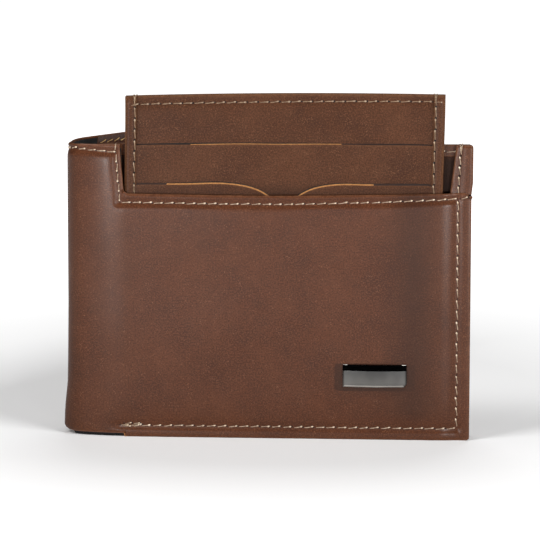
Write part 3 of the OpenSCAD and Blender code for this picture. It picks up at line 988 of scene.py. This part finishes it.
def crease(s, z, top, end):
    """The crease below a leaf's top edge."""
    return near_line(s, z, [(WING_X, top - CREASE), (end, top - CREASE)], 0.12, 0.35)


def leaf_dent(s, z):
    """The grooves of the seams that hold a stack of leaves."""
    return np.maximum(*(near_line(s, z, line, 0.22, 1.1) for line in LEAF_SEAMS))


for side, body, layer, face_y, sign in (
    ("front", "front_half", front_layer, WING_Y, 1),
    ("rear", "rear_half", rear_layer, CLOSED_T - LEATHER - CLOTH - NOTE_GAP - LEAF, -1),
):
    lay(body, INSIDE, [f"{side}_wing"], f"{side}_inner_leaf",
        block(WING_X, FREE_X, LEAF_Z, WING_TOP, 0, 2.0), turned(LEAF, 0.8),
        layer(face_y, -sign), step=2.6, grain=200 + sign,
        dent=lambda s, z: crease(s, z, WING_TOP, FREE_X - 1),
        at_z=[WING_TOP - d for d in CREASE_LINES])
    for n, top in enumerate(SLOT_TOPS, 1):
        last = n == len(SLOT_TOPS)
        lay(body, INSIDE, [f"{side}_card_slot_{n}"], f"{side}_card_slot_leaf_{n}",
            block(WING_X + 2, FREE_X, LEAF_Z, top, 0, 2.0), turned(LEAF, 0.8),
            layer(face_y + sign * n * LEAF, -sign), step=2.2, grain=203 + 7 * n + sign,
            dent=lambda s, z: crease(s, z, top, FREE_X) + (leaf_dent(s, z) if last else 0),
            at_z=[top - d for d in CREASE_LINES] + (LEAF_SEAM_LINES if last else []))
    outer = layer(face_y + sign * len(SLOT_TOPS) * LEAF, -sign)
    sew(f"{side}_leaf_stitches", [(line, outer, leaf_dent) for line in LEAF_SEAMS], body,
        [f"{side}_wing_stitching"], seed=31 + sign)

# ---- Rear half's turned edges ----

HEM_SEAM_Z = 87.0
rear_hem_place = rear_layer(CLOSED_T - LEATHER - HEM, 1)
hem_dent = groove([(WING_X, HEM_SEAM_Z), (FREE_X - 3, HEM_SEAM_Z)], 0.2, 0.7)
lay("rear_half", OUTER, ["rear_top_hem"], "rear_turned_top",
    block(WING_X, FREE_X - 2.0, HEIGHT - TOP_HEM, HEIGHT), WIDE_HEM_EDGE, rear_hem_place,
    step=2.0, at_z=[86.4, HEM_SEAM_Z, 87.6], dent=hem_dent, grain=240)
lay("rear_half", OUTER, ["rear_bottom_hem"], "rear_turned_foot",
    block(COLUMN_X, FREE_X - 1, 0, FOOT_HEM), WIDE_HEM_EDGE, rear_hem_place, step=3.0, grain=250)

# ---- Card holder ----

HX0, HX1 = HOLDER_LOW.x, HOLDER_HIGH.x
HZ0, HZ1 = HOLDER_LOW.z, HOLDER_HIGH.z
HOLDER_X = (HX0 + HX1) / 2
SLOT_Y = span("holder_lower_slot")[0].y - FRONT_Y
UPPER_Z, LOWER_Z = span("holder_upper_slot")[1].z, span("holder_lower_slot")[1].z
# The thickness of each of its leathers, and the width and thickness of its edge bindings
LAYER = 0.6
BINDING, BINDING_T = 3.4, 1.35
TOP_Y = SLOT_Y + 2 * LAYER
HOLDER_TOP_SEAM = [(HX0 + 0.8, HZ1 - 2.7), (HX1 - 0.6, HZ1 - 2.1)]
HOLDER_SEAMS_X = (HX0 + 3.0, HX1 - 2.8)
holder_ripple = ripple(21, 0.10, 60, 20)
top_groove = groove(HOLDER_TOP_SEAM, 0.22, 0.9)


def holder_place(y, inward=1):
    """The holder's sides lean a little, and its top edge bows up in the middle."""

    def place(s, z, w):
        up = (z - HZ0) / (HZ1 - HZ0)
        lean = 0.6 * smooth((up - 0.6) / 0.4) - 0.58
        bow = up ** 6 * (0.75 - 0.85 * ((s - HOLDER_X - 12) / 58) ** 2)
        return stack(s + lean, y + inward * w, z + bow)

    return place


def holder_dent(s, z):
    """Unevenness between the bindings."""
    inside = smooth((s - HX0 - BINDING) / 3) * smooth((HX1 - BINDING - s) / 3)
    return holder_ripple(s, z) * inside


def binding_groove(s, z):
    """The grooves of the two side seams."""
    return sum(near_line(s, z, [(x, HZ0), (x, HZ1 - 3)], 0.18, 0.5)
               for x in (HX0 + 2.7, HX1 - 2.7))


lay("card_holder", ("holder_leather", [HOLDER, RAW_DARK]), ["holder_back_panel"],
    "holder_back_leather", block(HX0, HX1, HZ0, HZ1), turned(LEAF, 0.8),
    holder_place(TOP_Y + LAYER + 0.2 + LEAF, -1), step=2.4, grain=300)
holder_cloth = lay(
    "card_holder", CLOTHS, ["holder_lining"], "holder_cloth",
    block(HX0 + 0.6, HX1 - 0.6, HZ0 + 0.6, HZ1 - 0.6), cut(0.2, 0.4, 0.05),
    holder_place(TOP_Y + LAYER), step=3.0, grain=310)
lay("card_holder", HELD, ["holder_top_panel"], "holder_top_leather",
    block(HX0, HX1, HZ0, HZ1 - 0.2), turned(LAYER, 0.85, 0.03), holder_place(TOP_Y), step=2.0,
    dent=lambda s, z: holder_dent(s, z) * 0.5 + top_groove(s, z), grain=320,
    at_z=beside([HZ1 - 2.3], (-1.2, -0.6, 0, 0.6, 1.2)))
SLOT_X0, SLOT_X1 = HX0 + 2.6, HX1 - 2.6
# The black cloth behind a slot's edge, which shows above it as a painted shadow line: how far it
# reaches down, and its thin rounded edge
PEEK_DEPTH = 10.5
PEEK_EDGE = [
    (0.3, 0, 0), (0.02, 0, 0), (0, 0.03, 0), (0, 0.09, 0), (0.02, 0.12, 0), (0.3, 0.12, 0),
]


def slot_panel(name, top, y, node, chamfer, seed, dark, pale_from, pale_to):
    """A slot's leather, with its raw top edge, and black cloth behind that edge as a painted shadow
    line.

    Its cut edge is painted pale, as if lit, between pale_from and pale_to, and in painted shade
    elsewhere; dark sets how much painted shade darkens it towards the mouth.
    cloth: its piece, width, length and area.
    """
    loop = [Vector(p) for p in [(SLOT_X0, HZ0), (SLOT_X1, HZ0)] + top]
    lay("card_holder", ("holder_leather", [HOLDER, RAW, SHADED]), [node], name, loop,
        lip(LAYER, chamfer), holder_place(y), step=1.8, grain=320 + 10 * seed,
        dent=lambda s, z: holder_ripple(s + 5 * seed, z) * 0.5 + 0.05,
        # The cut edge is painted as lit between pale_from and pale_to, and as shaded elsewhere
        raw=lambda s, z: 1 if pale_from < s < pale_to else 2,
        # Painted shade: darker towards the mouth, as much as dark says
        burnish=lambda s, z: dark * smooth((LOWER_Z + 1.5 - z) / 5))
    long_wave, short_wave = np.random.RandomState(seed).uniform(0, 6, 2)
    # The cloth's top stands just above the leather's edge, a painted shadow line
    peek = []
    for s, z in top:
        end = (0.4 if s < HOLDER_X else -0.4) * (abs(s - HOLDER_X) > 43)
        wave = 0.08 * math.sin(s * 0.07 + long_wave) + 0.06 * math.sin(s * 0.21 + short_wave)
        peek.append((s + end, z + 0.20 + wave))
    low = min(z for _, z in peek) - PEEK_DEPTH
    loop = [Vector(p) for p in [(SLOT_X0 + 0.4, low), (SLOT_X1 - 0.4, low)] + peek]
    made = lay("card_holder", CLOTHS, [], f"{name}_cloth", loop, PEEK_EDGE,
               holder_place(y + LAYER - 0.08), step=3.0)
    width, length = (max(p[i] for p in loop) - min(p[i] for p in loop) for i in (0, 1))
    return made, width, length, doubled_area(loop) / 2


def slot_line(count):
    """Points along a slot's top edge, from right to left, with the share of the way there."""
    return [(SLOT_X1 + (SLOT_X0 - SLOT_X1) * i / count, i) for i in range(count + 1)]


UPPER_STEPS, LOWER_STEPS = 24, 80
upper_top = [
    (s, UPPER_Z + 0.25 * (1 - (2 * i / UPPER_STEPS - 1) ** 2) + 0.05 * math.sin(i * 0.9))
    for s, i in slot_line(UPPER_STEPS)
]
# The thumb notch: its middle, depth, half width and how blunt its lowest point is
NOTCH_S = HOLDER_X + 0.15
NOTCH_DEPTH, NOTCH_WIDTH, NOTCH_BLUNT = 7.4, 5.7, 1.2
lower_top = []
for s, _ in slot_line(LOWER_STEPS):
    across = math.hypot(s - NOTCH_S, NOTCH_BLUNT)
    crest = 0.35 * math.exp(-(((s + 14) / 7) ** 2)) + 0.2 * math.exp(-(((s - 23) / 5) ** 2))
    corner = 0.6 * math.exp(-((s - SLOT_X0) / 0.8)) + 0.4 * math.exp(-((SLOT_X1 - s) / 0.8))
    notch = NOTCH_DEPTH * math.exp(-((across / NOTCH_WIDTH) ** 1.3))
    lower_top.append((s, LOWER_Z + 0.05 + crest - corner - notch))
slot_cloths = [
    slot_panel("holder_upper_slot_leather", upper_top, SLOT_Y + LAYER, "holder_upper_slot",
               0.2, 2, 0.6, -21, 24),
    slot_panel("holder_lower_slot_leather", lower_top, SLOT_Y, "holder_lower_slot",
               0.36, 5, 0.3, -28.5, 33),
]

binding_place = holder_place(SLOT_Y - 0.15)
for name, x in (("left", HX0), ("right", HX1 - BINDING)):
    lay("card_holder", HELD, [f"holder_{name}_binding"], f"holder_{name}_edge_strip",
        block(x, x + BINDING, HZ0, HZ1 - 0.1), turned(BINDING_T, 0.85, 0.1), binding_place,
        step=1.6, dent=binding_groove, grain=340)


def top_seam_dent(s, z):
    """The top seam lies in its groove, and on the bindings at its ends."""
    on_binding = (s < HX0 + BINDING) | (s > HX1 - BINDING)
    return top_groove(s, z) - (LAYER * 2 + 0.15) * on_binding


# Two threads go over the top edge at each side
sew("holder_stitches",
    [([(x, HZ0 + 1), (x, HZ1 - 0.2)], binding_place, None) for x in HOLDER_SEAMS_X]
    + [(HOLDER_TOP_SEAM, holder_place(TOP_Y), top_seam_dent)],
    # The third material, PALE, is the painted highlight on each knot
    "card_holder", ["holder_stitching"], [DIM, HOLE, PALE], seed=5, slant=0.12,
    wraps=[(over_edge(x + d, HZ1 - 0.05, 2.95, lean), binding_place)
           for x in HOLDER_SEAMS_X for d, lean in ((0.0, 0.35), (-0.25, -0.3))])

# ---- Stitching of the covers ----

# A wrapped thread starts this far below the top edge
WRAP_Z = HEIGHT - 0.02
sew("cover_front_stitches",
    [(line, round_front, front_dent) for line in (TOP_SEAM, COLUMN_SEAM[::-1], MOUTH_SEAM)],
    FRONT_BEND, ["mouth_stitching", "spine_stitching"], seed=11,
    wraps=[(over_edge(-45.1, WRAP_Z, LEATHER + 0.3, 0.1), round_front)])
facing_place = front_layer(LEATHER)
sew("cover_side_stitches",
    [(SIDE_SEAM, round_front, front_dent), (FACING_SEAM, facing_place, None),
     (CORNER_SEAM, round_front, front_dent)],
    "front_half", ["front_side_stitching"], seed=12,
    wraps=[(over_edge(SIDE_X + x, WRAP_Z, BACK_Y - LEATHER + 1.0, lean), facing_place)
           for x, lean in ((0.8, 0.3), (0.5, -0.15))])
sew("cover_foot_stitches",
    [(line, round_front, front_dent) for line in [FOOT_SEAM] + BACK_STITCHES],
    "front_half", ["front_bottom_stitching"], seed=13)
sew("pocket_back_stitches", [(BACK_SEAM, front_layer(BACK_Y - HEM), None)], "front_half", [],
    seed=14)
sew("rear_cover_stitches", [(line, round_rear, rear_dent) for line in REAR_SEAMS],
    REAR_BEND, ["rear_edge_stitching"], seed=15)
sew("rear_hem_stitches",
    [([(WING_X + 1, HEM_SEAM_Z), (FREE_X - 3.4, HEM_SEAM_Z)], rear_hem_place, hem_dent)],
    "rear_half", ["rear_hem_stitching"], [GOLDEN, HOLE, GOLDEN], seed=16, slant=0.45)

# ---- Nameplate ----

PLATE_T = 0.9
PLATE_Y = PLATE_LOW.y - FRONT_Y
# The arch of the plate, and its glossy bevel: where it starts and how steep it is
ARCH = -PLATE_Y - PLATE_T
BEVEL_Z = PLATE_HIGH.z - 1.75
BEVEL_SLOPE = 0.42
PLATE_EDGE = [
    (0.55, 0, 0), (0.3, 0.02, 0), (0.1, 0.12, 0), (0, 0.3, 0), (0, PLATE_T - 0.1, 0),
    (0.1, PLATE_T, 0), (0.55, PLATE_T, 0),
]


def plate_place(s, z, w):
    return stack(s, PLATE_Y + ARCH * ((s - PLATE_X) / PLATE_HALF_X) ** 2 + w, z)


def plate_paint(s, z):
    """Painted glints on the upper corners, a painted pale reflection on the rim below and on the
    left, a painted dark reflection on the bevel, or the face.
    """
    if z > PLATE_HIGH.z - 0.7 and abs(abs(s - PLATE_X) - PLATE_HALF_X) < 0.75:
        return 2
    if z < PLATE_LOW.z + 0.32 or (abs(s - PLATE_LOW.x) < 0.08 and z < BEVEL_Z):
        return 3
    return 1 if z > BEVEL_Z - 0.02 else 0


lay("front_half", ("gunmetal", [FACE, BEVEL_DARK_REFLECTION, CORNER_GLINT, RIM_REFLECTION]), ["nameplate"], "nameplate_metal",
    outline((PLATE_LOW.x, PLATE_LOW.z), (PLATE_HIGH.x - 0.7, PLATE_LOW.z),
            (PLATE_HIGH.x, PLATE_LOW.z + 0.9), (PLATE_HIGH.x, PLATE_HIGH.z),
            (PLATE_LOW.x, PLATE_HIGH.z)),
    PLATE_EDGE, plate_place, step=0.9, paint_face=plate_paint,
    at_z=[BEVEL_Z, BEVEL_Z - 0.08, BEVEL_Z + 0.08],
    dent=lambda s, z: np.clip(z - BEVEL_Z, 0, None) * BEVEL_SLOPE)
prongs = frame["nodes"]["nameplate_prongs"]
prongs.data.materials.clear()
prongs.data.materials.append(STEEL)

# ---- Floor, light and camera, in metres ----

FLOOR = 6
floor_mesh = bpy.data.meshes.new("floor")
floor_mesh.from_pydata(
    [(-FLOOR, -FLOOR, 0), (FLOOR, -FLOOR, 0), (FLOOR, FLOOR, 0), (-FLOOR, FLOOR, 0)],
    [], [(0, 1, 2, 3)])
floor = linked("floor", floor_mesh)
# The floor fades into the white studio away from the wallet
pale = Nodes("pale_floor")
pale.set(Base_Color=(240, 240, 240), Roughness=0.85, Specular_IOR_Level=0.15)
away = pale.add("VectorMath", 1, {"operation": "LENGTH"}, _0=pale.add("TexCoord", 3))
glow = pale.ramp(away, 0.09, 0.46, 0.05, 1.0)
pale.set(Emission_Color=(255, 255, 255), Emission_Strength=glow)
floor_mesh.materials.append(pale.material)

bpy.context.scene.view_settings.view_transform = "Standard"
world = bpy.data.worlds.new("studio")
bpy.context.scene.world = world
world.use_nodes = True
sky = world.node_tree.nodes["Background"].inputs
sky["Color"].default_value = (1.0, 1.0, 1.0, 1.0)
sky["Strength"].default_value = 0.07

AIM = Vector((1.0 * MM, FRONT_Y * MM, 0.58 * HEIGHT * MM))


def aimed(name, data, azimuth, elevation, distance, roll=0.0):
    """An object that looks at the wallet. Azimuth 0 is in front, and positive is to the right."""
    a, e = math.radians(azimuth), math.radians(elevation)
    back = Vector((math.sin(a) * math.cos(e), -math.cos(a) * math.cos(e), math.sin(e)))
    made = linked(name, data)
    made.location = AIM + back * distance
    made.rotation_mode = "QUATERNION"
    rolled = Quaternion((0, 0, 1), math.radians(roll))
    made.rotation_quaternion = (-back).to_track_quat("-Z", "Y") @ rolled
    return made


# Soft lights: azimuth, elevation, width, height and power
LIGHT_DISTANCE = 0.9
for name, azimuth, elevation, width, height, power in (
    ("key_left", -19, 0, 0.10, 0.07, 2.0), ("key_right", 18, 0, 0.06, 0.07, 2.1),
    ("side_left", -54, 54, 0.3, 0.3, 3.8), ("side_right", 56, 54, 0.3, 0.3, 3.8),
    ("overhead", 172, 62, 0.5, 0.35, 2.2),
):
    lamp = bpy.data.lights.new(name, "AREA")
    lamp.shape, lamp.energy = "RECTANGLE", power
    lamp.size, lamp.size_y = width, height
    aimed(name, lamp, azimuth, elevation, LIGHT_DISTANCE)

lens = bpy.data.cameras.new("camera")
lens.lens, lens.sensor_width = 156.3, 36.0
lens.clip_start, lens.clip_end = 0.05, 50
camera = aimed("camera", lens, azimuth=4.1, elevation=9.3, distance=0.7, roll=-0.2)
bpy.context.scene.camera = camera
